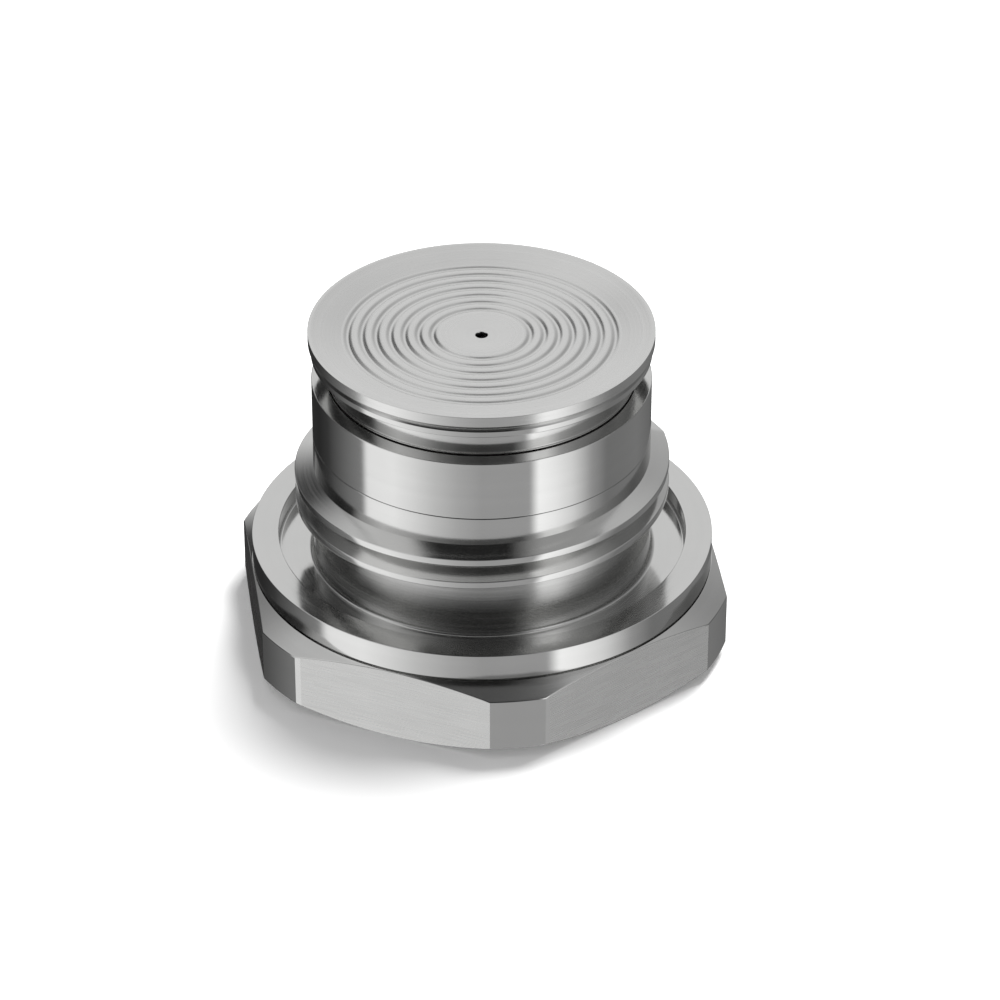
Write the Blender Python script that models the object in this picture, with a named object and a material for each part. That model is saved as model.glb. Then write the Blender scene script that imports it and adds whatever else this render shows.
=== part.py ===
"""Screw-in steam trap insert, real size, metres, +Z up.

The origin is the centre of the hexagon's bottom face and +Z runs along the turning axis.
Two corners of the hexagon lie on the Y axis, so two of its flats face +X and -X.
A fixed bonnet carries the guide sleeve. The valve head slides in the sleeve and is
shown at its upper stop; it can be pushed down by HEAD_TRAVEL against its spring.
"""

import math

import bmesh
import bpy

MM = 0.001
FIT = 0.3 * MM            # clearance between a piece and what it rests on or runs in
TURN_STEPS = 72           # facets round a turned piece that shows
INNER_STEPS = 36          # facets round a turned piece inside
FILLET_STEPS = 3          # straight pieces in a fillet

# Hexagon
HEX_ACROSS_FLATS = 54.6 * MM
HEX_CORNER_CUT = 1.67 * MM         # how much turning takes off each corner's radius
HEX_BASE_CHAMFER = 1.5 * MM        # height of the chamfer under the corner facets
HEX_CORNER_HEIGHT = 7.93 * MM      # height of the corner facets' tops, below the crown chamfer
HEX_HEIGHT = 9.0 * MM
HEX_CROWN_INSET = 0.1 * MM         # from a flat in to where both chamfers meet the end faces

# Collar that clamps the body gasket, and the trough inside it
RELIEF_HEIGHT = 0.25 * MM
RELIEF_DEPTH = 0.65 * MM
COLLAR_INSET = 0.15 * MM           # from a flat of the hexagon in to the collar
COLLAR_CHAMFER = 0.1 * MM
COLLAR_HEIGHT = 3.15 * MM
COLLAR_LAND = 3.15 * MM
TROUGH_DEPTH = 2.1 * MM

# Pilot, the neck below it and the thread on it
PILOT_R = 19.7 * MM
NECK_RELIEF = 0.15 * MM
NECK_FILLET = 0.5 * MM
NECK_LENGTH = 6.6 * MM
THREAD_DEPTH = 2.2 * MM
THREAD_PITCH = 3.0 * MM
THREAD_CREST_FLAT = 0.8 * MM
THREAD_FLANK = math.radians(17)
THREAD_RISE = 4.7 * MM             # from the neck's top to the upper crest where it crosses -Y
THREAD_TURN_BELOW = math.radians(500)
THREAD_TURN_ABOVE = math.radians(124)
THREAD_RUN_OUT = math.radians(30)
THREAD_ROOT_BITE = 0.5 * MM        # how far the ridge's root reaches into the pilot

# Guide sleeve, screwed into the bonnet's mouth
PARTING_Z = 26.0 * MM             # height of the joint between bonnet and sleeve
PARTING_GAP = 0.2 * MM
SLEEVE_HEIGHT = 7.3 * MM           # from the joint to the sleeve's top
SLEEVE_WALL = 1.65 * MM
SLEEVE_WEB = 1.3 * MM
SPIGOT_STEP = 2.7 * MM             # from the pilot's surface in to the spigot
SPIGOT_WALL = 2.5 * MM

# Control chamber in the bonnet, and the plate that guides the stem
CHAMBER_FLOOR = 9.5 * MM
SEAT_DEPTH = 6.5 * MM              # from the joint down to the plate's seat
SEAT_LEDGE = 3.5 * MM
GASKET_THICKNESS = 0.5 * MM
PLATE_THICKNESS = 1.5 * MM
PLATE_PORTS = 6
PORT_R = 1.3 * MM
PORT_INSET = 0.4 * MM              # from the chamber's wall in to a port
PORT_STEPS = 12

# Valve carrier: skirt, waist and rim
HEAD_TRAVEL = 2.0 * MM
SKIRT_PROUD = 0.2 * MM             # how far the skirt stands out of the sleeve
SKIRT_WALL = 3.8 * MM
RING_HEIGHT = 0.8 * MM
RING_DEPTH = 1.1 * MM
RING_PITCH = 1.6 * MM
UPPER_RING_DROP = 0.8 * MM         # from the skirt's top to the middle of the upper ring
WAIST_STEP = 0.25 * MM
WAIST_HEIGHT = 3.3 * MM
WAIST_FILLET = 0.25 * MM
RIM_R = 19.7 * MM
RIM_HEIGHT = 1.0 * MM
POCKET_RISE = 1.4 * MM             # from the skirt's top to the carrier's ceiling

# Valve disc
DISC_R = 20.0 * MM
DISC_THICKNESS = 1.46 * MM
DISC_CHAMFER = 0.4 * MM
DISC_EDGE_BREAK = 0.1 * MM
DISC_LAND = 0.6 * MM               # flat rim at the disc's edge
DISC_SEAT = 2.3 * MM               # width of the shallow cone from that rim down to the dish
DISH_DEPTH = 0.62 * MM
FACE_GROOVES = 7
FIRST_GROOVE_R = 5.53 * MM
GROOVE_PITCH = 1.63 * MM
GROOVE_DEPTH = 0.22 * MM
FACE_SKIN = 0.7 * MM
DISC_SPIGOT_R = 8.0 * MM
DISC_SPIGOT_LENGTH = 2.7 * MM

# Hollow stem with its flange, stop nut and washer
ORIFICE_R = 0.7 * MM
NOZZLE_R = 2.6 * MM
NOZZLE_HEIGHT = 1.1 * MM
STEM_BORE_R = 1.6 * MM
STEM_R = 4.0 * MM
STEM_NECK_R = 4.8 * MM
STEM_FLANGE_R = 11.0 * MM
STEM_FLANGE = 1.2 * MM
STEM_TAIL = 0.8 * MM
WASHER_LAND = 3.7 * MM             # from the stem's clearance out to the washer's edge
WASHER_THICKNESS = 1.2 * MM
NUT_ACROSS_FLATS = 13.0 * MM
NUT_HEIGHT = 2.5 * MM

# Return spring
SPRING_MEAN_R = 9.0 * MM
WIRE_R = 0.7 * MM
SPRING_TURNS = 4.5
SPRING_STEPS_PER_TURN = 20
WIRE_SIDES = 6


def new_object(name, mesh, parent, material):
    """Puts a mesh in the scene under its body's empty, shaded smooth between its edges."""
    mesh.shade_smooth()
    mesh.set_sharp_from_angle(angle=math.radians(30))
    obj = bpy.data.objects.new(name, mesh)
    bpy.context.scene.collection.objects.link(obj)
    obj.parent = parent
    if material is not None:
        mesh.materials.append(material)
    return obj


def mesh_from(name, points, faces):
    """A closed mesh from points and faces, with its faces turned outwards."""
    bm = bmesh.new()
    corners = [bm.verts.new(point) for point in points]
    for face in faces:
        bm.faces.new([corners[i] for i in face])
    bmesh.ops.recalc_face_normals(bm, faces=bm.faces)
    mesh = bpy.data.meshes.new(name)
    bm.to_mesh(mesh)
    bm.free()
    return mesh


def turned_mesh(name, outline, steps):
    """Turns a closed (radius, height) outline round Z. Two neighbours at radius 0 lie on the axis."""
    points, rings = [], []
    for radius, z in outline:
        if radius == 0:
            rings.append([len(points)] * steps)
            points.append((0, 0, z))
            continue
        rings.append(list(range(len(points), len(points) + steps)))
        for i in range(steps):
            turn = math.tau * i / steps
            points.append((radius * math.sin(turn), -radius * math.cos(turn), z))
    faces = []
    for here, there in zip(rings, rings[1:] + rings[:1]):
        for i in range(steps):
            j = (i + 1) % steps
            face = list(dict.fromkeys((here[i], here[j], there[j], there[i])))
            if len(face) > 2:
                faces.append(face)
    return mesh_from(name, points, faces)


def turned(name, outline, parent, material, steps=TURN_STEPS):
    return new_object(name, turned_mesh(name, outline, steps), parent, material)


def ring_outline(inner_r, outer_r, z0, z1):
    """The outline of a plain ring, or of a plain plug where inner_r is 0."""
    return [(inner_r, z0), (outer_r, z0), (outer_r, z1), (inner_r, z1)]


def fillet(radius, z, spread, height):
    """A hollow corner that runs in from radius + spread at z to radius at z + height."""
    corner = []
    for k in range(FILLET_STEPS + 1):
        turn = math.pi / 2 * k / FILLET_STEPS
        corner.append((radius + spread * (1 - math.sin(turn)), z + height * (1 - math.cos(turn))))
    return corner


def hexagon_mesh(name, across_flats, z0, z1):
    """A hexagonal prism with corners on -Y and +Y."""
    corner_r = across_flats / math.sqrt(3)
    points = [
        (corner_r * math.sin(math.radians(60 * i)), -corner_r * math.cos(math.radians(60 * i)), z)
        for z in (z0, z1)
        for i in range(6)
    ]
    faces = [list(range(6)), list(range(6, 12))]
    faces += [[i, (i + 1) % 6, 6 + (i + 1) % 6, 6 + i] for i in range(6)]
    return mesh_from(name, points, faces)


def swept_mesh(name, sections):
    """A closed tube through equal loops of points, with a flat face at each end."""
    sides = len(sections[0])
    points = [point for section in sections for point in section]
    faces = [list(range(sides)), list(range(len(points) - sides, len(points)))]
    for k in range(len(sections) - 1):
        for i in range(sides):
            a, b = k * sides + i, k * sides + (i + 1) % sides
            faces.append([a, b, b + sides, a + sides])
    return mesh_from(name, points, faces)


def cut_with(obj, name, mesh, operation):
    """Adds an exact Boolean whose tool stays in the scene as a wire guide."""
    tool = new_object(name, mesh, obj.parent, None)
    tool.hide_render = True
    tool.display_type = "WIRE"
    boolean = obj.modifiers.new(name, "BOOLEAN")
    boolean.operation = operation
    boolean.object = tool


def metal(name, grey, roughness, metallic=1.0):
    material = bpy.data.materials.new(name)
    material.use_nodes = True
    shader = material.node_tree.nodes["Principled BSDF"]
    shader.inputs["Base Color"].default_value = (grey, grey, grey, 1)
    shader.inputs["Roughness"].default_value = roughness
    shader.inputs["Metallic"].default_value = metallic
    return material


def body(name):
    """An empty on the axis that carries one rigid body's pieces."""
    empty = bpy.data.objects.new(name, None)
    bpy.context.scene.collection.objects.link(empty)
    return empty


for old in list(bpy.data.objects):
    bpy.data.objects.remove(old, do_unlink=True)

turned_steel = metal("turned_steel", 0.62, 0.25)
ground_steel = metal("ground_steel", 0.70, 0.18)
plain_steel = metal("plain_steel", 0.55, 0.35)
spring_steel = metal("spring_steel", 0.45, 0.3)
graphite = metal("graphite", 0.03, 0.8, metallic=0.0)

bonnet = body("bonnet")
valve_head = body("valve_head")

# Bonnet: hexagon, collar, neck, threaded pilot and the control chamber inside.
corner_r = HEX_ACROSS_FLATS / math.sqrt(3) - HEX_CORNER_CUT
crown_r = HEX_ACROSS_FLATS / 2 - HEX_CROWN_INSET
collar_r = HEX_ACROSS_FLATS / 2 - COLLAR_INSET
relief_r = collar_r - RELIEF_DEPTH
relief_top = HEX_HEIGHT + RELIEF_HEIGHT
collar_top = relief_top + COLLAR_HEIGHT
trough_r = collar_r - COLLAR_LAND
trough_floor = collar_top - TROUGH_DEPTH
neck_r = PILOT_R - NECK_RELIEF
neck_top = trough_floor + NECK_LENGTH
spigot_r = PILOT_R - SPIGOT_STEP
mouth_r = spigot_r + FIT
chamber_r = spigot_r - SEAT_LEDGE
seat_z = PARTING_Z - SEAT_DEPTH
hex_bonnet = turned(
    "hex_bonnet",
    [
        (0, 0),
        (crown_r, 0),
        (corner_r, HEX_BASE_CHAMFER),
        (corner_r, HEX_CORNER_HEIGHT),
        (crown_r, HEX_HEIGHT),
        (relief_r, HEX_HEIGHT),
        (relief_r, relief_top),
        (collar_r - COLLAR_CHAMFER, relief_top),
        (collar_r, relief_top + COLLAR_CHAMFER),
        (collar_r, collar_top),
        (trough_r, collar_top),
        (trough_r, trough_floor),
        *fillet(neck_r, trough_floor, NECK_FILLET, NECK_FILLET),
        (neck_r, neck_top),
        (PILOT_R, neck_top + NECK_RELIEF),
        (PILOT_R, PARTING_Z),
        (mouth_r, PARTING_Z),
        (mouth_r, seat_z),
        (chamber_r, seat_z),
        (chamber_r, CHAMBER_FLOOR),
        (0, CHAMBER_FLOOR),
    ],
    bonnet,
    turned_steel,
)
cut_with(
    hex_bonnet,
    "hexagon_guide",
    hexagon_mesh("hexagon_guide", HEX_ACROSS_FLATS, -HEX_HEIGHT, PARTING_Z + HEX_HEIGHT),
    "INTERSECT",
)

# Thread: one right-hand ridge round the pilot. Its ends sink into the pilot over the run-out.
root_r = PILOT_R - THREAD_ROOT_BITE
end_r = PILOT_R - THREAD_ROOT_BITE / 2
thread_turn = THREAD_TURN_BELOW + THREAD_TURN_ABOVE
stations = round(thread_turn / (math.tau / TURN_STEPS))
ridge = []
for k in range(stations + 1):
    along = thread_turn * k / stations
    turn = along - THREAD_TURN_BELOW
    z = neck_top + THREAD_RISE + THREAD_PITCH * turn / math.tau
    grown = min(1, along / THREAD_RUN_OUT, (thread_turn - along) / THREAD_RUN_OUT)
    crest_r = end_r + (PILOT_R + THREAD_DEPTH - end_r) * grown
    half_crest = THREAD_CREST_FLAT / 2
    half_root = half_crest + (crest_r - root_r) * math.tan(THREAD_FLANK)
    ridge.append(
        [
            (r * math.sin(turn), -r * math.cos(turn), z + dz)
            for r, dz in (
                (root_r, -half_root),
                (crest_r, -half_crest),
                (crest_r, half_crest),
                (root_r, half_root),
            )
        ]
    )
cut_with(hex_bonnet, "thread_guide", swept_mesh("thread_guide", ridge), "UNION")

# Guide sleeve: its spigot screws into the bonnet's mouth and holds the plate on its seat.
sleeve_top = PARTING_Z + SLEEVE_HEIGHT
sleeve_bore_r = PILOT_R - SLEEVE_WALL
spigot_bore_r = spigot_r - SPIGOT_WALL
gasket_z = seat_z + FIT
plate_z = gasket_z + GASKET_THICKNESS + FIT
plate_top = plate_z + PLATE_THICKNESS
web_bottom = PARTING_Z + PARTING_GAP
web_top = web_bottom + SLEEVE_WEB
turned(
    "guide_sleeve",
    [
        (spigot_bore_r, plate_top + FIT),
        (spigot_r, plate_top + FIT),
        (spigot_r, web_bottom),
        (PILOT_R, web_bottom),
        (PILOT_R, sleeve_top),
        (sleeve_bore_r, sleeve_top),
        (sleeve_bore_r, web_top),
        (spigot_bore_r, web_top),
    ],
    bonnet,
    turned_steel,
)
turned(
    "plate_gasket",
    ring_outline(chamber_r + FIT, spigot_r, gasket_z, gasket_z + GASKET_THICKNESS),
    bonnet,
    graphite,
    INNER_STEPS,
)

# Guide plate: it steers the stem, lets condensate through its ports and carries the spring.
guide_plate = turned(
    "guide_plate",
    ring_outline(STEM_R + FIT, spigot_r, plate_z, plate_top),
    bonnet,
    plain_steel,
    INNER_STEPS,
)
port_circle_r = chamber_r - PORT_INSET - PORT_R
half_facet = math.pi / INNER_STEPS
for k in range(PLATE_PORTS):
    spot = math.tau * k / PLATE_PORTS + half_facet
    port = turned_mesh("port_guide", ring_outline(0, PORT_R, plate_z - FIT, plate_top + FIT), PORT_STEPS)
    for vertex in port.vertices:
        vertex.co.x += port_circle_r * math.sin(spot)
        vertex.co.y -= port_circle_r * math.cos(spot)
    cut_with(guide_plate, f"port_guide_{k + 1}", port, "DIFFERENCE")

# Valve carrier: skirt with two ring grooves, waist and rim, hollow below.
skirt_r = sleeve_bore_r - FIT
skirt_bore_r = skirt_r - SKIRT_WALL
skirt_top = sleeve_top + SKIRT_PROUD
skirt_bottom = web_top + FIT + HEAD_TRAVEL
groove_floor_r = skirt_r - RING_DEPTH - FIT
half_groove = RING_HEIGHT / 2 + FIT
upper_ring_z = skirt_top - UPPER_RING_DROP
ring_heights = (upper_ring_z - RING_PITCH, upper_ring_z)
ring_grooves = [
    corner
    for z in ring_heights
    for corner in (
        (skirt_r, z - half_groove),
        (groove_floor_r, z - half_groove),
        (groove_floor_r, z + half_groove),
        (skirt_r, z + half_groove),
    )
]
waist_r = skirt_r - WAIST_STEP
rim_bottom = skirt_top + WAIST_HEIGHT
rim_top = rim_bottom + RIM_HEIGHT
carrier_bore_r = DISC_SPIGOT_R + FIT
carrier_ceiling = skirt_top + POCKET_RISE
turned(
    "valve_carrier",
    [
        (skirt_bore_r, skirt_bottom),
        (skirt_r, skirt_bottom),
        *ring_grooves,
        *fillet(waist_r, skirt_top, WAIST_STEP, WAIST_FILLET),
        (waist_r, rim_bottom),
        (RIM_R, rim_bottom),
        (RIM_R, rim_top),
        (carrier_bore_r, rim_top),
        (carrier_bore_r, carrier_ceiling),
        (skirt_bore_r, carrier_ceiling),
    ],
    valve_head,
    turned_steel,
)
for name, z in zip(("piston_ring_lower", "piston_ring_upper"), ring_heights):
    turned(
        name,
        ring_outline(skirt_r - RING_DEPTH, skirt_r, z - RING_HEIGHT / 2, z + RING_HEIGHT / 2),
        valve_head,
        plain_steel,
        INNER_STEPS,
    )

# Valve disc: a dished face with concentric grooves, bled through the orifice at its centre.
disc_bottom = rim_top + FIT
disc_top = disc_bottom + DISC_THICKNESS
dish_z = disc_top - DISH_DEPTH
skin_bottom = dish_z - FACE_SKIN
spigot_bottom = disc_bottom - DISC_SPIGOT_LENGTH
socket_r = STEM_NECK_R + FIT
nozzle_top = skin_bottom - FIT
nozzle_bottom = nozzle_top - NOZZLE_HEIGHT
stem_top = nozzle_bottom - FIT
waves = []
for k in range(FACE_GROOVES):
    groove_r = FIRST_GROOVE_R + GROOVE_PITCH * k
    waves.append((groove_r - GROOVE_PITCH / 2, dish_z))
    waves.append((groove_r, dish_z - GROOVE_DEPTH))
waves.append((groove_r + GROOVE_PITCH / 2, dish_z))
rim_inner_r = DISC_R - DISC_EDGE_BREAK - DISC_LAND
turned(
    "valve_disc",
    [
        (ORIFICE_R, skin_bottom),
        (NOZZLE_R + FIT, skin_bottom),
        (NOZZLE_R + FIT, nozzle_bottom),
        (socket_r, nozzle_bottom),
        (socket_r, spigot_bottom),
        (DISC_SPIGOT_R, spigot_bottom),
        (DISC_SPIGOT_R, disc_bottom),
        (DISC_R - DISC_CHAMFER, disc_bottom),
        (DISC_R, disc_bottom + DISC_CHAMFER),
        (DISC_R, disc_top - DISC_EDGE_BREAK),
        (DISC_R - DISC_EDGE_BREAK, disc_top),
        (rim_inner_r, disc_top),
        (rim_inner_r - DISC_SEAT, dish_z),
        *reversed(waves),
        (ORIFICE_R, dish_z),
    ],
    valve_head,
    ground_steel,
)
turned(
    "orifice_nozzle",
    [
        (STEM_BORE_R, nozzle_bottom),
        (NOZZLE_R, nozzle_bottom),
        (NOZZLE_R, nozzle_top),
        (ORIFICE_R, nozzle_top),
    ],
    valve_head,
    ground_steel,
    INNER_STEPS,
)

# Hollow stem: its flange clamps the carrier to the disc, its lower end carries the stop.
flange_top = carrier_ceiling - FIT
flange_bottom = flange_top - STEM_FLANGE
washer_top = plate_z - FIT
washer_bottom = washer_top - WASHER_THICKNESS
nut_top = washer_bottom - FIT
nut_bottom = nut_top - NUT_HEIGHT
turned(
    "hollow_stem",
    [
        (STEM_BORE_R, nut_bottom - STEM_TAIL),
        (STEM_R, nut_bottom - STEM_TAIL),
        (STEM_R, flange_bottom),
        (STEM_FLANGE_R, flange_bottom),
        (STEM_FLANGE_R, flange_top),
        (STEM_NECK_R, flange_top),
        (STEM_NECK_R, stem_top),
        (STEM_BORE_R, stem_top),
    ],
    valve_head,
    plain_steel,
    INNER_STEPS,
)
turned(
    "stop_washer",
    ring_outline(STEM_R + FIT, STEM_R + FIT + WASHER_LAND, washer_bottom, washer_top),
    valve_head,
    plain_steel,
    INNER_STEPS,
)
stop_nut = new_object(
    "stop_nut",
    hexagon_mesh("stop_nut", NUT_ACROSS_FLATS, nut_bottom, nut_top),
    valve_head,
    plain_steel,
)
cut_with(
    stop_nut,
    "nut_bore_guide",
    turned_mesh(
        "nut_bore_guide", ring_outline(0, STEM_R + FIT, nut_bottom - FIT, nut_top + FIT), INNER_STEPS
    ),
    "DIFFERENCE",
)

# Return spring: one coil from the guide plate up to the stem's flange.
spring_low = plate_top + FIT + WIRE_R
spring_high = flange_bottom - FIT - WIRE_R
coil_steps = round(SPRING_TURNS * SPRING_STEPS_PER_TURN)
rise = (spring_high - spring_low) / (math.tau * SPRING_TURNS)
pitch_angle = math.atan2(rise, SPRING_MEAN_R)
coil = []
for k in range(coil_steps + 1):
    turn = math.tau * SPRING_TURNS * k / coil_steps
    z = spring_low + rise * turn
    section = []
    for i in range(WIRE_SIDES):
        side = math.tau * i / WIRE_SIDES
        out, lift = WIRE_R * math.cos(side), WIRE_R * math.sin(side)
        back = -lift * math.sin(pitch_angle)
        section.append(
            (
                (SPRING_MEAN_R + out) * math.sin(turn) + back * math.cos(turn),
                -(SPRING_MEAN_R + out) * math.cos(turn) + back * math.sin(turn),
                z + lift * math.cos(pitch_angle),
            )
        )
    coil.append(section)
new_object("return_spring", swept_mesh("return_spring", coil), bonnet, spring_steel)
least_gap = rise * math.tau * math.cos(pitch_angle) - 2 * WIRE_R
print(f"return_spring: least gap between turns {least_gap / MM:.2f} mm")
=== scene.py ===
"""Looks of the screw-in steam trap insert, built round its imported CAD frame. Metres, +Z up."""

import math

import bmesh
import bpy
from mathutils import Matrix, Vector


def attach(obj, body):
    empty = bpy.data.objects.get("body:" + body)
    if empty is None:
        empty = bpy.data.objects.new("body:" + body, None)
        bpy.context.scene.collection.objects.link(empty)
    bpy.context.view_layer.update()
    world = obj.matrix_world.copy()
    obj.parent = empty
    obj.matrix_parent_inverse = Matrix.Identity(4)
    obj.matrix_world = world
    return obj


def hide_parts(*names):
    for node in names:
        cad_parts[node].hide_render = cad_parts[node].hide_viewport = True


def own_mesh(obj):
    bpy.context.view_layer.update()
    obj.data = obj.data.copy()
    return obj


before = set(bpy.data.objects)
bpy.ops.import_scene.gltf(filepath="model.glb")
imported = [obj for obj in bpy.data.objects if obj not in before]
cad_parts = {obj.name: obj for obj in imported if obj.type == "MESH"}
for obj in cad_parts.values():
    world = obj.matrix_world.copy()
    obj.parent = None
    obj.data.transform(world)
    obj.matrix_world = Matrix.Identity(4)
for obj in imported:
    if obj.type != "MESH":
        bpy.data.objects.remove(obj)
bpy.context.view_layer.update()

# ---------------------------------------------------------------------------
# Bonnet. One piece turned from hexagon bar: spanner flats chamfered at base and crown, the
# collar that clamps the body gasket, the trough inside it, the neck, thickened at its foot,
# and the plain pilot, bored from above for the control chamber.
# ---------------------------------------------------------------------------
MM = 0.001
hex_apothem = 27.3
hex_corner_r = 29.85
base_chamfer = 1.5
hex_corner_height = 7.93
crown_r, hex_height = 27.2, 9.0
base_slope = base_chamfer / (hex_corner_r - crown_r)
crown_slope = (hex_height - hex_corner_height) / (hex_corner_r - crown_r)
relief_r, relief_top = 26.5, 9.25
collar_r, collar_top = 27.15, 12.4
trough_r, trough_floor = 24.0, 10.3
neck_r, neck_fillet, neck_top = 19.55, 0.5, 16.9
neck_foot_r, neck_foot_top = 19.9, 13.4
pilot_r, parting_z = 19.7, 26.0
mouth_r, seat_z = 17.3, 19.5
chamber_r, chamber_floor = 13.5, 9.5

ARC_STEPS = 5            # straight pieces round a rounded edge
SUPPORT = 0.04           # mm from a rounding's end to the point that keeps the face beside it flat


def softened(corners):
    """A closed outline in mm with rounded corners, from corners (radius, height, rounding)."""
    outline = []
    for k, (r, z, rounding) in enumerate(corners):
        here = Vector((r, z))
        if not rounding:
            outline.append(here)
            continue
        back = Vector(corners[k - 1][:2]) - here
        ahead = Vector(corners[(k + 1) % len(corners)][:2]) - here
        room = 0.42 * min(back.length, ahead.length)
        back.normalize()
        ahead.normalize()
        half = back.angle(ahead) / 2
        reach = min(rounding / math.tan(half), room)
        bend = reach * math.tan(half)
        centre = here + (back + ahead).normalized() * math.hypot(reach, bend)
        start, end = here + back * reach - centre, here + ahead * reach - centre
        support = min(SUPPORT, 0.3 * room)
        outline.append(centre + start + back * support)
        sweep = start.angle(end)
        for step in range(ARC_STEPS + 1):
            share = step / ARC_STEPS
            outline.append(
                centre
                + start * (math.sin((1 - share) * sweep) / math.sin(sweep))
                + end * (math.sin(share * sweep) / math.sin(sweep))
            )
        outline.append(centre + end + ahead * support)
    return outline


def piece_from(name, columns, materials, material_of=None):
    """A closed, smooth-shaded piece from equal outlines in mm, each standing at its own angle.

    columns is a list of (angle in radians from -Y, outline). A point at radius 0 is shared.
    """
    mesh_data = bmesh.new()
    rows = len(columns[0][1])
    poles = {}
    grid = []
    for angle, outline in columns:
        column = []
        for row, (r, z) in enumerate(outline):
            if r < 1e-9:
                if row not in poles:
                    poles[row] = mesh_data.verts.new((0, 0, z * MM))
                column.append(poles[row])
            else:
                column.append(
                    mesh_data.verts.new((r * math.sin(angle) * MM, -r * math.cos(angle) * MM, z * MM))
                )
        grid.append(column)
    for c, column in enumerate(grid):
        beside = grid[(c + 1) % len(grid)]
        for row in range(rows):
            above = (row + 1) % rows
            corners = list(dict.fromkeys((column[row], beside[row], beside[above], column[above])))
            if len(corners) > 2:
                face = mesh_data.faces.new(corners)
                face.smooth = True
                if material_of:
                    face.material_index = material_of(c, row)
    bmesh.ops.recalc_face_normals(mesh_data, faces=mesh_data.faces)
    mesh = bpy.data.meshes.new(name)
    mesh_data.to_mesh(mesh)
    mesh_data.free()
    mesh.set_sharp_from_angle(angle=math.radians(22))
    for material in materials:
        mesh.materials.append(material)
    piece = bpy.data.objects.new(name, mesh)
    bpy.context.scene.collection.objects.link(piece)
    return piece


def turned_piece(name, corners, materials, count=288):
    outline = softened(corners)
    return piece_from(name, [(math.tau * k / count, outline) for k in range(count)], materials)


def colour(hex_code):
    """An sRGB hex colour as the linear values that a shader wants."""
    parts = [int(hex_code[i : i + 2], 16) / 255 for i in (1, 3, 5)]
    return (*[c / 12.92 if c <= 0.04045 else ((c + 0.055) / 1.055) ** 2.4 for c in parts], 1.0)


def add_node(tree, kind, links=(), **settings):
    """Adds a node: settings whose name is an input's set that input, the rest set properties.

    links is a list of (output socket, input name or number).
    """
    node = tree.nodes.new(kind)
    for name, value in settings.items():
        if hasattr(node, name):
            setattr(node, name, value)
        else:
            node.inputs[name.replace("_", " ")].default_value = value
    for output, name in links:
        tree.links.new(output, node.inputs[name])
    return node


BAND_FEEDS = 9           # tool feeds in one broader band of the same rings
PATCH_SIZE = 7           # mm, the size of the faint patches where oil and handling dull the steel
STREAK_STRETCH = 0.06    # how far level streaks are drawn out, as their thickness over their length


def steel(name, tone, dark_tone, roughness, anisotropy, feed, depth, level_grain=False):
    """Stainless steel as a lathe leaves it, in fine rings one tool feed apart.

    The rings blur a reflection across themselves and leave it sharp along themselves. feed is
    their spacing and depth their height, both in mm. level_grain draws level streaks instead.
    A real finishing feed is 0.05 to 0.1 mm, too fine to show here, so each is drawn at least
    twice as coarse.
    """
    material = bpy.data.materials.new(name)
    material.use_nodes = True
    tree = material.node_tree
    tree.nodes.clear()
    place = add_node(tree, "ShaderNodeTexCoord")
    axes = add_node(tree, "ShaderNodeSeparateXYZ", [(place.outputs["Object"], 0)])
    flat = add_node(tree, "ShaderNodeCombineXYZ", [(axes.outputs["X"], 0), (axes.outputs["Y"], 1)])
    radius = add_node(tree, "ShaderNodeVectorMath", [(flat.outputs[0], 0)], operation="LENGTH")
    if level_grain:
        ring_place = add_node(
            tree, "ShaderNodeMapping", [(place.outputs["Object"], "Vector")],
            Scale=(STREAK_STRETCH, STREAK_STRETCH, 1.0),
        )
    else:
        ring_place = add_node(
            tree, "ShaderNodeCombineXYZ", [(radius.outputs["Value"], 0), (axes.outputs["Z"], 1)]
        )
    rings = add_node(
        tree, "ShaderNodeTexNoise", [(ring_place.outputs[0], "Vector")],
        noise_dimensions="3D", Scale=1 / (feed * MM), Detail=2.0, Roughness=0.6,
    )
    bands = add_node(
        tree, "ShaderNodeTexNoise", [(ring_place.outputs[0], "Vector")],
        noise_dimensions="3D", Scale=1 / (feed * MM * BAND_FEEDS), Detail=2.0, Roughness=0.5,
    )
    patches = add_node(
        tree, "ShaderNodeTexNoise", [(place.outputs["Object"], "Vector")],
        noise_dimensions="3D", Scale=1 / (PATCH_SIZE * MM), Detail=4.0, Roughness=0.55,
    )
    wear = add_node(
        tree, "ShaderNodeMath", [(bands.outputs["Fac"], 0), (patches.outputs["Fac"], 1)],
        operation="MULTIPLY",
    )
    tint = add_node(tree, "ShaderNodeMix", [(wear.outputs[0], 0)], data_type="RGBA")
    tint.inputs[6].default_value = colour(dark_tone)
    tint.inputs[7].default_value = colour(tone)
    gloss = add_node(
        tree, "ShaderNodeMapRange", [(rings.outputs["Fac"], "Value")],
        From_Min=0.3, From_Max=0.7, To_Min=roughness * 0.8, To_Max=roughness * 1.25,
    )
    # The tangent runs round the piece, which is the way of the tool marks.
    along = add_node(tree, "ShaderNodeVectorMath", [(flat.outputs[0], 0)], operation="CROSS_PRODUCT")
    along.inputs[1].default_value = (0, 0, -1)
    tangent = add_node(tree, "ShaderNodeVectorMath", [(along.outputs[0], 0)], operation="NORMALIZE")
    bump = add_node(
        tree, "ShaderNodeBump", [(rings.outputs["Fac"], "Height")], Strength=1.0, Distance=depth * MM
    )
    shader = add_node(
        tree, "ShaderNodeBsdfPrincipled",
        [
            (tint.outputs[2], "Base Color"),
            (gloss.outputs[0], "Roughness"),
            (bump.outputs[0], "Normal"),
            (tangent.outputs[0], "Tangent"),
        ],
        Metallic=1.0,
        Anisotropic=anisotropy,
        Anisotropic_Rotation=0.25,
    )
    add_node(tree, "ShaderNodeOutputMaterial", [(shader.outputs[0], "Surface")])
    return material


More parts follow.
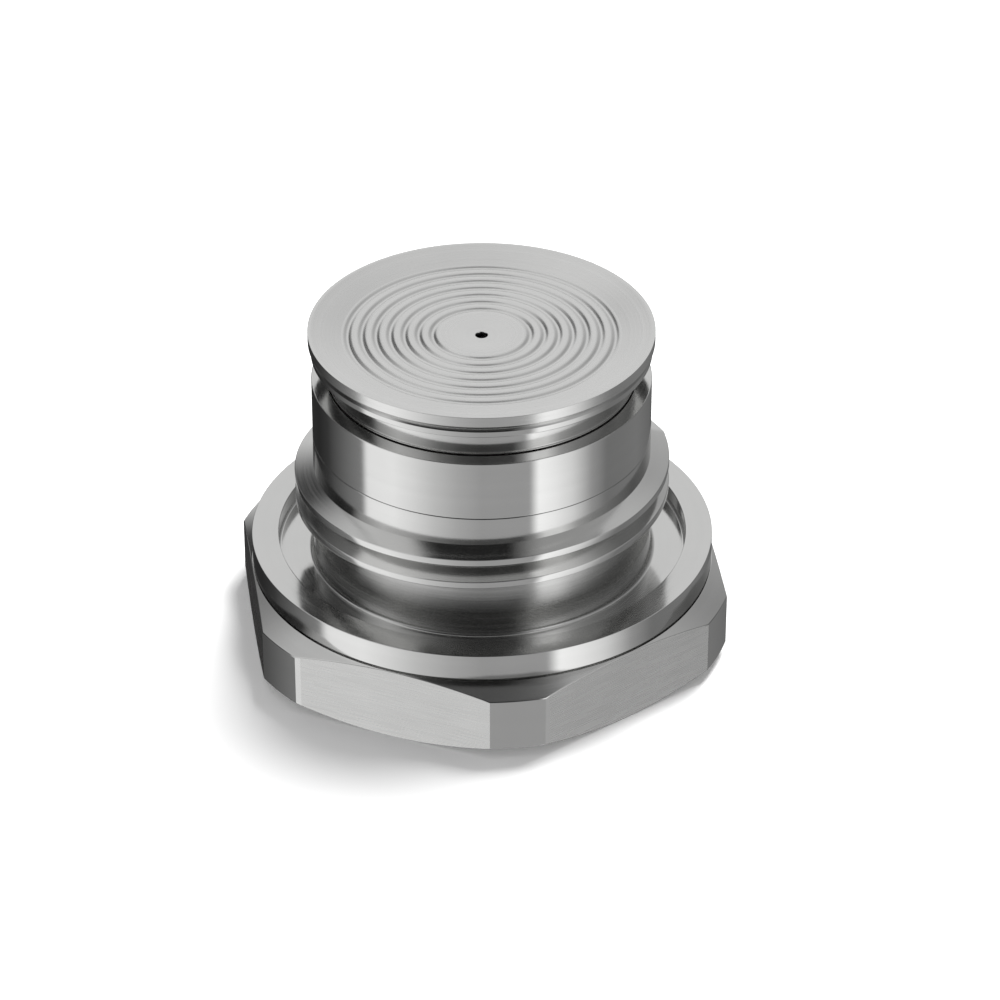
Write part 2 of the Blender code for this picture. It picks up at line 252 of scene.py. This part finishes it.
# Turned stainless steel with a fine feed: almost a mirror, with crisp upright reflections.
turned_stainless = steel("turned stainless steel", "#e6e6e5", "#d8d8d7", 0.11, 0.8, 0.22, 0.0008)

edge_half_turn = math.radians(30) - math.acos(hex_apothem / hex_corner_r)
facet_steps, flat_steps = 8, 20


def hexagon_angles():
    """Angles of one sixth, from the middle of a flat over a corner to the middle of the next."""
    facet, half_sixth = edge_half_turn, math.pi / 6
    flat = [facet + (half_sixth - facet) * k / flat_steps for k in range(1, flat_steps)]
    over_corner = [-facet + 2 * facet * k / facet_steps for k in range(facet_steps + 1)]
    return [-half_sixth] + [-angle for angle in reversed(flat)] + over_corner + flat


def bonnet_corners(angle):
    """The bonnet's outline at an angle: (radius, height, rounding) in mm."""
    off_flat = abs(angle) % (math.pi / 3)
    side_r = min(hex_corner_r, hex_apothem / math.cos(math.pi / 6 - off_flat))
    crown_z = hex_corner_height + (hex_corner_r - side_r) * crown_slope
    return [
        (0, 0, 0),
        (crown_r, 0, 0.1),
        (side_r, (side_r - crown_r) * base_slope, 0.12),
        (side_r, crown_z, 0.15),
        (crown_r, hex_height, 0.1),
        (relief_r, hex_height, 0.04),
        (relief_r, relief_top, 0.04),
        (collar_r, relief_top, 0.05),
        (collar_r, collar_top, 0.06),
        (trough_r, collar_top, 0.1),
        (trough_r, trough_floor, 0.25),
        (neck_foot_r, trough_floor, neck_fillet),
        (neck_foot_r, neck_foot_top, 1.5),
        (neck_r, neck_top, 0.1),
        (pilot_r, neck_top + pilot_r - neck_r, 0.1),
        (pilot_r, parting_z, 0.06),
        (mouth_r, parting_z, 0.1),
        (mouth_r, seat_z, 0.1),
        (chamber_r, seat_z, 0.1),
        (chamber_r, chamber_floor, 0.4),
        (0, chamber_floor, 0),
    ]


sixth = hexagon_angles()
bonnet_columns = [
    (angle + math.pi / 3 * side, softened(bonnet_corners(angle)))
    for side in range(6)
    for angle in sixth
]
corner_points = ARC_STEPS + 3            # points that one rounded corner gives an outline
side_rows = range(2 * corner_points - 1, 2 * corner_points + 2)
neck_rows = range(10 * corner_points + 2, 13 * corner_points)


def bonnet_material(column, row):
    """The spanner flats are drawn bar and the neck is turned coarsely; the rest is turned fine."""
    if row in neck_rows:
        return 2
    angle = sixth[column % len(sixth)]
    return 1 if row in side_rows and abs(angle) > edge_half_turn else 0


# Drawn bar as bought: satin flats with level grain and no clear reflections.
drawn_stainless = steel("drawn stainless bar", "#e6e6e5", "#cfcfce", 0.27, 0.0, 0.25, 0.0004, True)
# The neck is turned coarsely, as nothing bears on it: rings show, and reflections are streaked.
neck_stainless = steel("coarsely turned stainless steel", "#ececeb", "#c4c4c3", 0.2, 0.75, 0.3, 0.003)
hexagon_bonnet = piece_from(
    "hexagon_bonnet",
    bonnet_columns,
    [turned_stainless, drawn_stainless, neck_stainless],
    bonnet_material,
)
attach(hexagon_bonnet, "bonnet")
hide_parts("hex_bonnet")

# ---------------------------------------------------------------------------
# Thread. One right-hand ridge cut on the pilot, with a narrow flat crest. It is swept
# along a helix and runs out into the pilot at both ends.
# ---------------------------------------------------------------------------
thread_pitch = 3.0
thread_crest_r = 21.9
thread_crest_flat = 0.8
upper_flank, lower_flank = math.radians(17), math.radians(30)
thread_front_crest = 21.6
thread_below, thread_above = math.radians(500), math.radians(124)
thread_run_out = math.radians(30)
thread_root_r = pilot_r - 0.3
thread_rounding = 0.1
thread_stations = 625                    # sections along the helix, one for each degree of turn
thread_crease = math.radians(12)         # keeps the flanks flat up to the rounded edges
least_section = 0.05                     # the section's size at the very ends, inside the pilot


def tree_with_inputs(name, inputs):
    """A Geometry Nodes tree with named inputs. Returns the tree and the input node's outputs."""
    tree = bpy.data.node_groups.new(name, "GeometryNodeTree")
    for socket_name, kind in inputs:
        tree.interface.new_socket(socket_name, in_out="INPUT", socket_type=kind)
    tree.interface.new_socket("Geometry", in_out="OUTPUT", socket_type="NodeSocketGeometry")
    return tree, tree.nodes.new("NodeGroupInput").outputs


def maths(tree, operation, a, b=None):
    """A Math node on two values, each a socket or a number."""
    node = add_node(tree, "ShaderNodeMath", operation=operation)
    for place, value in enumerate((a, b)):
        if value is None:
            continue
        if isinstance(value, (int, float)):
            node.inputs[place].default_value = value
        else:
            tree.links.new(value, node.inputs[place])
    return node.outputs[0]


def baked(name, tree, values, source=None):
    """Runs a tree on a piece's mesh, or on nothing, and returns its result as a plain piece."""
    start = source or bpy.data.objects.new(name + "_start", bpy.data.meshes.new(name + "_start"))
    if source is None:
        bpy.context.scene.collection.objects.link(start)
    modifier = start.modifiers.new(name, "NODES")
    modifier.node_group = tree
    for item in tree.interface.items_tree:
        if item.in_out == "INPUT" and item.name in values:
            modifier[item.identifier] = values[item.name]
    bpy.context.view_layer.update()
    depsgraph = bpy.context.evaluated_depsgraph_get()
    mesh = bpy.data.meshes.new_from_object(start.evaluated_get(depsgraph))
    mesh.name = name
    bpy.data.objects.remove(start, do_unlink=True)
    piece = bpy.data.objects.new(name, mesh)
    bpy.context.scene.collection.objects.link(piece)
    return piece


tree, given = tree_with_inputs(
    "thread along a helix",
    [
        ("Root radius", "NodeSocketFloat"),
        ("Depth", "NodeSocketFloat"),
        ("Crest flat", "NodeSocketFloat"),
        ("Upper flank tangent", "NodeSocketFloat"),
        ("Lower flank tangent", "NodeSocketFloat"),
        ("Pitch", "NodeSocketFloat"),
        ("Start angle", "NodeSocketFloat"),
        ("Sweep angle", "NodeSocketFloat"),
        ("Start height", "NodeSocketFloat"),
        ("Run-out angle", "NodeSocketFloat"),
        ("Edge rounding", "NodeSocketFloat"),
        ("Stations", "NodeSocketInt"),
        ("Finish", "NodeSocketMaterial"),
    ],
)
line = add_node(tree, "GeometryNodeCurvePrimitiveLine")
stations = add_node(
    tree, "GeometryNodeResampleCurve", [(line.outputs[0], "Curve"), (given["Stations"], "Count")]
)
share = add_node(tree, "GeometryNodeSplineParameter").outputs["Factor"]
swept = maths(tree, "MULTIPLY", share, given["Sweep angle"])
turn = maths(tree, "ADD", swept, given["Start angle"])
climb = maths(tree, "DIVIDE", maths(tree, "MULTIPLY", turn, given["Pitch"]), math.tau)
helix_x = maths(tree, "MULTIPLY", maths(tree, "SINE", turn), given["Root radius"])
helix_y = maths(
    tree, "MULTIPLY", maths(tree, "MULTIPLY", maths(tree, "COSINE", turn), given["Root radius"]), -1
)
helix_z = maths(tree, "ADD", climb, given["Start height"])
helix_point = add_node(tree, "ShaderNodeCombineXYZ", [(helix_x, 0), (helix_y, 1), (helix_z, 2)])
helix = add_node(
    tree, "GeometryNodeSetPosition",
    [(stations.outputs[0], "Geometry"), (helix_point.outputs[0], "Position")],
)
left = maths(tree, "SUBTRACT", given["Sweep angle"], swept)
from_end = maths(tree, "MINIMUM", swept, left)
grown = maths(tree, "MINIMUM", maths(tree, "DIVIDE", from_end, given["Run-out angle"]), 1.0)
ridge_scale = maths(tree, "MAXIMUM", grown, least_section)
upright = add_node(tree, "GeometryNodeSetCurveNormal", [(helix.outputs[0], "Curve")], mode="Z_UP")
upper_reach = maths(tree, "MULTIPLY", given["Depth"], given["Upper flank tangent"])
lower_reach = maths(tree, "MULTIPLY", given["Depth"], given["Lower flank tangent"])
root_width = maths(tree, "ADD", given["Crest flat"], maths(tree, "ADD", upper_reach, lower_reach))
crest_offset = maths(tree, "MULTIPLY", maths(tree, "SUBTRACT", lower_reach, upper_reach), 0.5)
section = add_node(
    tree, "GeometryNodeCurvePrimitiveQuadrilateral",
    [
        (root_width, "Bottom Width"),
        (given["Crest flat"], "Top Width"),
        (crest_offset, "Offset"),
        (given["Depth"], "Height"),
    ],
    mode="TRAPEZOID",
)
rounded = add_node(
    tree, "GeometryNodeFilletCurve",
    [(section.outputs[0], "Curve"), (given["Edge rounding"], "Radius")],
    mode="POLY", Count=3,
)
half_depth = maths(tree, "MULTIPLY", given["Depth"], 0.5)
crest_centring = maths(tree, "MULTIPLY", crest_offset, -1.0)
lift = add_node(tree, "ShaderNodeCombineXYZ", [(crest_centring, 0), (half_depth, 1)])
lifted = add_node(
    tree, "GeometryNodeTransform", [(rounded.outputs[0], "Geometry"), (lift.outputs[0], "Translation")]
)
facing = add_node(tree, "GeometryNodeTransform", [(lifted.outputs[0], "Geometry")])
facing.inputs["Rotation"].default_value = (0, 0, math.radians(-90))
ridge = add_node(
    tree, "GeometryNodeCurveToMesh",
    [(upright.outputs[0], "Curve"), (facing.outputs[0], "Profile Curve"), (ridge_scale, "Scale")],
    Fill_Caps=True,
)
finished = add_node(
    tree, "GeometryNodeSetMaterial", [(ridge.outputs[0], "Geometry"), (given["Finish"], "Material")]
)
real = add_node(tree, "GeometryNodeRealizeInstances", [(finished.outputs[0], "Geometry")])
add_node(tree, "NodeGroupOutput", [(real.outputs[0], "Geometry")])

thread_ridge = baked(
    "thread_ridge",
    tree,
    {
        "Root radius": thread_root_r * MM,
        "Depth": (thread_crest_r - thread_root_r) * MM,
        "Crest flat": thread_crest_flat * MM,
        "Upper flank tangent": math.tan(upper_flank),
        "Lower flank tangent": math.tan(lower_flank),
        "Pitch": thread_pitch * MM,
        "Start angle": -thread_below,
        "Sweep angle": thread_below + thread_above,
        "Start height": thread_front_crest * MM,
        "Run-out angle": thread_run_out,
        "Edge rounding": thread_rounding * MM,
        "Stations": thread_stations,
        "Finish": turned_stainless,
    },
)
thread_ridge.data.set_sharp_from_angle(angle=thread_crease)
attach(thread_ridge, "bonnet")

# ---------------------------------------------------------------------------
# Guide sleeve. A turned ring whose outside carries on the pilot above a fine parting
# line. Its bore guides the valve head and its spigot screws into the bonnet.
# ---------------------------------------------------------------------------
parting_gap = 0.05
sleeve_top = 33.3
sleeve_bore_r = 17.85
sleeve_web_top = 27.5
spigot_r, spigot_bore_r, spigot_bottom = 17.0, 14.5, 22.4

guide_sleeve = turned_piece(
    "sleeve",
    [
        (spigot_bore_r, spigot_bottom, 0.1),
        (spigot_r, spigot_bottom, 0.2),
        (spigot_r, parting_z + parting_gap, 0.1),
        (pilot_r, parting_z + parting_gap, 0.06),
        (pilot_r, sleeve_top, 0.1),
        (sleeve_bore_r, sleeve_top, 0.1),
        (sleeve_bore_r, sleeve_web_top, 0.2),
        (spigot_bore_r, sleeve_web_top, 0.1),
    ],
    [turned_stainless],
)
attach(guide_sleeve, "bonnet")
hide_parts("guide_sleeve")

# ---------------------------------------------------------------------------
# Valve carrier. A turned cup: its skirt slides in the sleeve and stands a little proud,
# a waist rises from it through a hollow corner, and a rim backs the valve disc.
# ---------------------------------------------------------------------------
skirt_r, skirt_bottom, skirt_top = 17.75, 29.8, 33.5
skirt_bore_r, carrier_ceiling = 13.95, 34.9
ring_groove_r, ring_groove_half = 16.35, 0.7
ring_heights = (31.1, 32.7)
waist_r, waist_fillet = 17.5, 0.25
rim_r, rim_bottom, rim_top, rim_chamfer = 19.7, 36.8, 37.8, 0.3
carrier_bore_r = 8.3

ring_grooves = [
    corner
    for z in ring_heights
    for corner in (
        (skirt_r, z - ring_groove_half, 0.05),
        (ring_groove_r, z - ring_groove_half, 0.1),
        (ring_groove_r, z + ring_groove_half, 0.1),
        (skirt_r, z + ring_groove_half, 0.05),
    )
]
carrier_cup = turned_piece(
    "carrier_cup",
    [
        (skirt_bore_r, skirt_bottom, 0.2),
        (skirt_r, skirt_bottom, 0.2),
        *ring_grooves,
        (skirt_r, skirt_top, 0.1),
        (waist_r, skirt_top, waist_fillet),
        (waist_r, rim_bottom, 0.3),
        (rim_r, rim_bottom, 0.12),
        (rim_r, rim_top - rim_chamfer, 0.04),
        (rim_r - rim_chamfer, rim_top, 0.04),
        (carrier_bore_r, rim_top, 0.1),
        (carrier_bore_r, carrier_ceiling, 0.1),
        (skirt_bore_r, carrier_ceiling, 0.4),
    ],
    [turned_stainless],
)
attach(carrier_cup, "valve_head")
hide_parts("valve_carrier")

# ---------------------------------------------------------------------------
# Valve disc. Ground, with a narrow flat rim, a shallow cone inside it and a dish with
# rounded concentric grooves. The bleed hole is drilled in a small hollow at the centre.
# ---------------------------------------------------------------------------
disc_r, disc_bottom, disc_top = 20.0, 37.84, 39.56
disc_chamfer = 0.5
dish_outer_r, dish_inner_r = 19.7, 16.1
dish_depth = 0.8
groove_count = 7
groove_narrowing = 2.0       # above 1, the lands between the grooves are wider than the grooves
first_groove_r, groove_pitch, groove_depth = 5.63, 1.63, 0.18
hollow_r, hollow_depth = 4.6, 0.2
hole_r = 0.7
disc_spigot_r, disc_spigot_bottom = 8.0, 35.4
socket_r, nozzle_seat_r, nozzle_seat_z, nozzle_room_z = 5.1, 2.9, 36.84, 38.24
face_rings, face_columns = 170, 360
face_margin = 0.2            # how far below the top a point still belongs to the face

# Ground stainless steel: an even, pale sheen with soft reflections, which keeps the face bright.
ground_stainless = steel("ground stainless steel", "#efefee", "#e0e0df", 0.23, 0.45, 0.18, 0.001)

blank_edge = softened(
    [
        (hole_r, nozzle_room_z, 0),
        (nozzle_seat_r, nozzle_room_z, 0.1),
        (nozzle_seat_r, nozzle_seat_z, 0.1),
        (socket_r, nozzle_seat_z, 0.1),
        (socket_r, disc_spigot_bottom, 0.2),
        (disc_spigot_r, disc_spigot_bottom, 0.2),
        (disc_spigot_r, disc_bottom, 0.1),
        (disc_r - disc_chamfer, disc_bottom, 0.06),
        (disc_r, disc_bottom + disc_chamfer, 0.06),
        (disc_r, disc_top, 0.03),
        (hole_r, disc_top, 0.08),
    ]
)
edge_points = blank_edge[: -(ARC_STEPS + 3)]
lip_points = blank_edge[-(ARC_STEPS + 3) :]
outer, inner = edge_points[-1][0], lip_points[0][0]
face_points = [
    Vector((outer + (inner - outer) * k / face_rings, disc_top)) for k in range(1, face_rings)
]
disc_outline = edge_points + face_points + lip_points
disc_blank = piece_from(
    "disc_blank",
    [(math.tau * k / face_columns, disc_outline) for k in range(face_columns)],
    [ground_stainless],
)

tree, given = tree_with_inputs(
    "dish and grooves of a valve disc",
    [
        ("Blank", "NodeSocketGeometry"),
        ("Face height", "NodeSocketFloat"),
        ("Dish outer radius", "NodeSocketFloat"),
        ("Dish inner radius", "NodeSocketFloat"),
        ("Dish depth", "NodeSocketFloat"),
        ("First groove radius", "NodeSocketFloat"),
        ("Groove pitch", "NodeSocketFloat"),
        ("Groove count", "NodeSocketFloat"),
        ("Groove depth", "NodeSocketFloat"),
        ("Hollow radius", "NodeSocketFloat"),
        ("Hollow depth", "NodeSocketFloat"),
        ("Finish", "NodeSocketMaterial"),
    ],
)
here = add_node(tree, "GeometryNodeInputPosition")
axes = add_node(tree, "ShaderNodeSeparateXYZ", [(here.outputs[0], 0)])
flat = add_node(tree, "ShaderNodeCombineXYZ", [(axes.outputs["X"], 0), (axes.outputs["Y"], 1)])
length = add_node(tree, "ShaderNodeVectorMath", [(flat.outputs[0], 0)], operation="LENGTH")
radius = length.outputs["Value"]
dish = add_node(
    tree, "ShaderNodeMapRange",
    [
        (radius, "Value"),
        (given["Dish outer radius"], "From Max"),
        (given["Dish inner radius"], "From Min"),
    ],
    To_Min=1.0, To_Max=0.0,
).outputs[0]
groove_number = maths(
    tree, "DIVIDE", maths(tree, "SUBTRACT", radius, given["First groove radius"]), given["Groove pitch"]
)
wave = maths(tree, "COSINE", maths(tree, "MULTIPLY", groove_number, math.tau))
rounded_wave = maths(tree, "MULTIPLY", maths(tree, "ADD", wave, 1.0), 0.5)
narrow_wave = maths(tree, "POWER", rounded_wave, groove_narrowing)
inside_first = maths(tree, "GREATER_THAN", groove_number, -0.5)
last_edge = maths(tree, "SUBTRACT", given["Groove count"], 0.5)
inside_last = maths(tree, "LESS_THAN", groove_number, last_edge)
grooved = maths(tree, "MULTIPLY", narrow_wave, maths(tree, "MULTIPLY", inside_first, inside_last))
hollow = add_node(
    tree, "ShaderNodeMapRange", [(radius, "Value"), (given["Hollow radius"], "From Max")],
    interpolation_type="SMOOTHSTEP", From_Min=0.0, To_Min=1.0, To_Max=0.0,
).outputs[0]
drop = maths(
    tree, "ADD", maths(tree, "MULTIPLY", dish, given["Dish depth"]),
    maths(
        tree, "ADD", maths(tree, "MULTIPLY", grooved, given["Groove depth"]),
        maths(tree, "MULTIPLY", hollow, given["Hollow depth"]),
    ),
)
face_edge = maths(tree, "SUBTRACT", given["Face height"], face_margin * MM)
top_face = maths(tree, "GREATER_THAN", axes.outputs["Z"], face_edge)
fall = maths(tree, "MULTIPLY", maths(tree, "MULTIPLY", drop, top_face), -1.0)
offset = add_node(tree, "ShaderNodeCombineXYZ", [(fall, 2)])
cut = add_node(
    tree, "GeometryNodeSetPosition", [(given["Blank"], "Geometry"), (offset.outputs[0], "Offset")]
)
finished = add_node(
    tree, "GeometryNodeSetMaterial", [(cut.outputs[0], "Geometry"), (given["Finish"], "Material")]
)
real = add_node(tree, "GeometryNodeRealizeInstances", [(finished.outputs[0], "Geometry")])
add_node(tree, "NodeGroupOutput", [(real.outputs[0], "Geometry")])

valve_disc = baked(
    "grooved_disc",
    tree,
    {
        "Face height": disc_top * MM,
        "Dish outer radius": dish_outer_r * MM,
        "Dish inner radius": dish_inner_r * MM,
        "Dish depth": dish_depth * MM,
        "First groove radius": first_groove_r * MM,
        "Groove pitch": groove_pitch * MM,
        "Groove count": float(groove_count),
        "Groove depth": groove_depth * MM,
        "Hollow radius": hollow_r * MM,
        "Hollow depth": hollow_depth * MM,
        "Finish": ground_stainless,
    },
    disc_blank,
)
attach(valve_disc, "valve_head")
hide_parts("valve_disc")

# ---------------------------------------------------------------------------
# Return spring. A compression spring coiled from drawn wire. It stands on the plate; the stem's
# flange shortens it as the head goes down, but this copy of the CAD coil keeps one length.
# ---------------------------------------------------------------------------
weld_distance = 0.001
wire_crease = math.radians(70)           # leaves only the wire's cut ends sharp
# Drawn spring wire: darker and duller than the turned pieces.
spring_wire = steel("drawn spring wire", "#a9a9a8", "#8f8f8e", 0.28, 0.0, 0.5, 0.002)

coil = bmesh.new()
coil.from_mesh(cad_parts["return_spring"].data)
bmesh.ops.remove_doubles(coil, verts=coil.verts, dist=weld_distance * MM)
for face in coil.faces:
    face.smooth = True
    face.material_index = 0
coil_mesh = bpy.data.meshes.new("coil_spring")
coil.to_mesh(coil_mesh)
coil.free()
coil_mesh.set_sharp_from_angle(angle=wire_crease)
coil_mesh.materials.append(spring_wire)
coil_spring = bpy.data.objects.new("coil_spring", coil_mesh)
bpy.context.scene.collection.objects.link(coil_spring)
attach(coil_spring, "bonnet")
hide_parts("return_spring")
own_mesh(coil_spring)

# ---------------------------------------------------------------------------
# Inner pieces, which keep their CAD shapes: plate, nozzle, stem with washer and nut,
# piston rings and the graphite gasket. The steel ones are turned without a fine finish,
# but the nozzle is ground.
# ---------------------------------------------------------------------------
# Machined stainless steel, not finished further: grey and satin, with open rings.
plain_stainless = steel("machined stainless steel", "#c9c9c8", "#b4b4b3", 0.32, 0.5, 0.3, 0.003)

# Pressed graphite: dark grey and matt, with a faint glitter of flakes 0.6 mm across, which is
# coarser than the real ones so that it shows.
flake_size = 0.6
graphite = bpy.data.materials.new("pressed graphite")
graphite.use_nodes = True
tree = graphite.node_tree
tree.nodes.clear()
place = add_node(tree, "ShaderNodeTexCoord")
flakes = add_node(
    tree, "ShaderNodeTexNoise", [(place.outputs["Object"], "Vector")],
    Scale=1 / (flake_size * MM), Detail=4.0,
)
tint = add_node(tree, "ShaderNodeMix", [(flakes.outputs["Fac"], 0)], data_type="RGBA")
tint.inputs[6].default_value = colour("#242426")
tint.inputs[7].default_value = colour("#3a3a3d")
bump = add_node(
    tree, "ShaderNodeBump", [(flakes.outputs["Fac"], "Height")], Strength=0.6, Distance=0.02 * MM
)
shader = add_node(
    tree, "ShaderNodeBsdfPrincipled",
    [(tint.outputs[2], "Base Color"), (bump.outputs[0], "Normal")], Roughness=0.55,
)
add_node(tree, "ShaderNodeOutputMaterial", [(shader.outputs[0], "Surface")])

for node, finish in (
    ("guide_plate", plain_stainless),
    ("orifice_nozzle", ground_stainless),
    ("hollow_stem", plain_stainless),
    ("stop_washer", plain_stainless),
    ("stop_nut", plain_stainless),
    ("piston_ring_lower", plain_stainless),
    ("piston_ring_upper", plain_stainless),
    ("plate_gasket", graphite),
):
    for material_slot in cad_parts[node].material_slots:
        material_slot.material = finish

# ---------------------------------------------------------------------------
# Studio. A plain white table and backdrop, a soft lamp high on the right, and for the
# metal's reflections a pale room with the dark of the camera's side in it.
# ---------------------------------------------------------------------------
camera_azimuth = math.radians(-8.0194)

floor_mesh = bpy.data.meshes.new("table_top")
span = 3.0
floor_mesh.from_pydata(
    [(-span, -span, 0), (span, -span, 0), (span, span, 0), (-span, span, 0)], [], [(0, 1, 2, 3)]
)
table_top = bpy.data.objects.new("table_top", floor_mesh)
bpy.context.scene.collection.objects.link(table_top)
white_card = bpy.data.materials.new("white card")
white_card.use_nodes = True
card = white_card.node_tree.nodes["Principled BSDF"]
card.inputs["Base Color"].default_value = colour("#fbfbfb")
card.inputs["Roughness"].default_value = 0.9
card.inputs["Specular IOR Level"].default_value = 0.0
floor_mesh.materials.append(white_card)
table_top.visible_glossy = False

lamp_data = bpy.data.lights.new("softbox", "AREA")
lamp_data.shape = "DISK"
lamp_data.size = 0.5
lamp_data.energy = 16.0
lamp = bpy.data.objects.new("softbox", lamp_data)
lamp.location = (0.35, 0.38, 0.95)
lamp.rotation_euler = (Vector((0, 0, 0.02)) - lamp.location).to_track_quat("-Z", "Y").to_euler()
lamp.visible_glossy = False
bpy.context.scene.collection.objects.link(lamp)

world = bpy.data.worlds.new("pale room")
bpy.context.scene.world = world
world.use_nodes = True
tree = world.node_tree
tree.nodes.clear()
look = add_node(tree, "ShaderNodeTexCoord")
axes = add_node(tree, "ShaderNodeSeparateXYZ", [(look.outputs["Generated"], 0)])
bearing = add_node(tree, "ShaderNodeMath", operation="ARCTAN2")
tree.links.new(axes.outputs["X"], bearing.inputs[0])
tree.links.new(maths(tree, "MULTIPLY", axes.outputs["Y"], -1.0), bearing.inputs[1])
turned_bearing = maths(tree, "SUBTRACT", bearing.outputs[0], camera_azimuth)
round_room = add_node(
    tree, "ShaderNodeMath", [(turned_bearing, 0)], operation="WRAP"
)
round_room.inputs[1].default_value = math.pi
round_room.inputs[2].default_value = -math.pi
across = add_node(
    tree, "ShaderNodeMapRange", [(round_room.outputs[0], "Value")],
    From_Min=-math.pi, From_Max=math.pi, To_Min=0.0, To_Max=1.0,
)


def tone_band(stops):
    """Grey tones of the room by bearing in degrees from the camera's side, clockwise from above."""
    band = add_node(tree, "ShaderNodeValToRGB", [(across.outputs[0], 0)])
    elements = band.color_ramp.elements
    for degrees, tone in stops:
        ends = {-180: elements[0], 180: elements[-1]}
        element = ends.get(degrees) or elements.new((degrees + 180) / 360)
        element.color = (tone, tone, tone, 1)
    return band.outputs[0]


def blended(lower, upper, start, end):
    """Goes from one tone to another between two heights, given as the sine of the elevation."""
    rise = add_node(
        tree, "ShaderNodeMapRange", [(axes.outputs["Z"], "Value")],
        interpolation_type="SMOOTHSTEP", From_Min=start, From_Max=end, To_Min=0.0, To_Max=1.0,
    )
    blend = add_node(
        tree, "ShaderNodeMix", [(rise.outputs[0], 0), (lower, 6), (upper, 7)], data_type="RGBA"
    )
    return blend.outputs[2]


table_tones = tone_band(
    [
        (-180, 0.03), (-144, 0.025), (-128, 0.045), (-112, 0.125), (-96, 0.22), (-89, 0.25),
        (-84, 1.02), (-62, 1.05), (-48, 0.9), (-32, 0.67), (-16, 0.5), (0, 0.4), (33, 0.4),
        (39, 1.22), (50, 1.1), (64, 0.85), (80, 0.37), (94, 0.2), (130, 0.22), (160, 0.15), (180, 0.05),
    ]
)
eye_level_tones = tone_band(
    [
        (-180, 0.76), (-163, 0.72), (-157, 0.05), (-151, 0.05), (-146, 0.3), (-136, 0.12), (-122, 0.04),
        (-104, 0.02), (-92, 0.04), (-84, 0.4), (-66, 0.72), (-48, 0.52), (-32, 0.22), (-16, 0.09),
        (0, 0.055), (24, 0.075), (32, 0.35), (40, 1.05), (50, 1.1), (62, 0.52), (74, 0.33), (90, 0.22),
        (112, 0.13), (130, 0.17), (146, 0.33), (160, 0.5), (170, 0.72), (180, 0.76),
    ]
)
high_tones = tone_band(
    [
        (-180, 0.7), (-164, 0.75), (-156, 0.9), (-150, 0.6), (-140, 0.5), (-120, 0.8), (-76, 0.75),
        (-62, 0.05), (-50, 0.02), (24, 0.02), (44, 0.3), (60, 0.5), (100, 0.46), (140, 0.46),
        (160, 0.65), (180, 0.7),
    ]
)
ceiling_tones = tone_band([(-180, 0.09), (-90, 0.09), (-30, 0.01), (30, 0.01), (90, 0.12), (180, 0.09)])
lower_room = blended(table_tones, eye_level_tones, -0.3, 0.0)
upper_room = blended(lower_room, high_tones, 0.55, 0.78)
room = blended(upper_room, ceiling_tones, 0.93, 0.968)
seen_by = add_node(tree, "ShaderNodeLightPath")
background = add_node(tree, "ShaderNodeMix", [(seen_by.outputs["Is Glossy Ray"], 0)], data_type="RGBA")
background.inputs[6].default_value = (0.6, 0.6, 0.6, 1)
tree.links.new(room, background.inputs[7])
backdrop = add_node(
    tree, "ShaderNodeMix",
    [(seen_by.outputs["Is Camera Ray"], 0), (background.outputs[2], 6)], data_type="RGBA",
)
backdrop.inputs[7].default_value = (1, 1, 1, 1)
air = add_node(tree, "ShaderNodeBackground", [(backdrop.outputs[2], "Color")], Strength=1.0)
add_node(tree, "ShaderNodeOutputWorld", [(air.outputs[0], "Surface")])

camera_data = bpy.data.cameras.new("camera")
camera_data.lens = 156.46
camera_data.sensor_width = 36.0
camera = bpy.data.objects.new("camera", camera_data)
camera.location = (-0.05809, -0.42753, 0.29061)
camera.rotation_euler = (math.radians(57.5325), 0, camera_azimuth)
bpy.context.scene.collection.objects.link(camera)
bpy.context.scene.camera = camera
bpy.context.scene.view_settings.view_transform = "Standard"
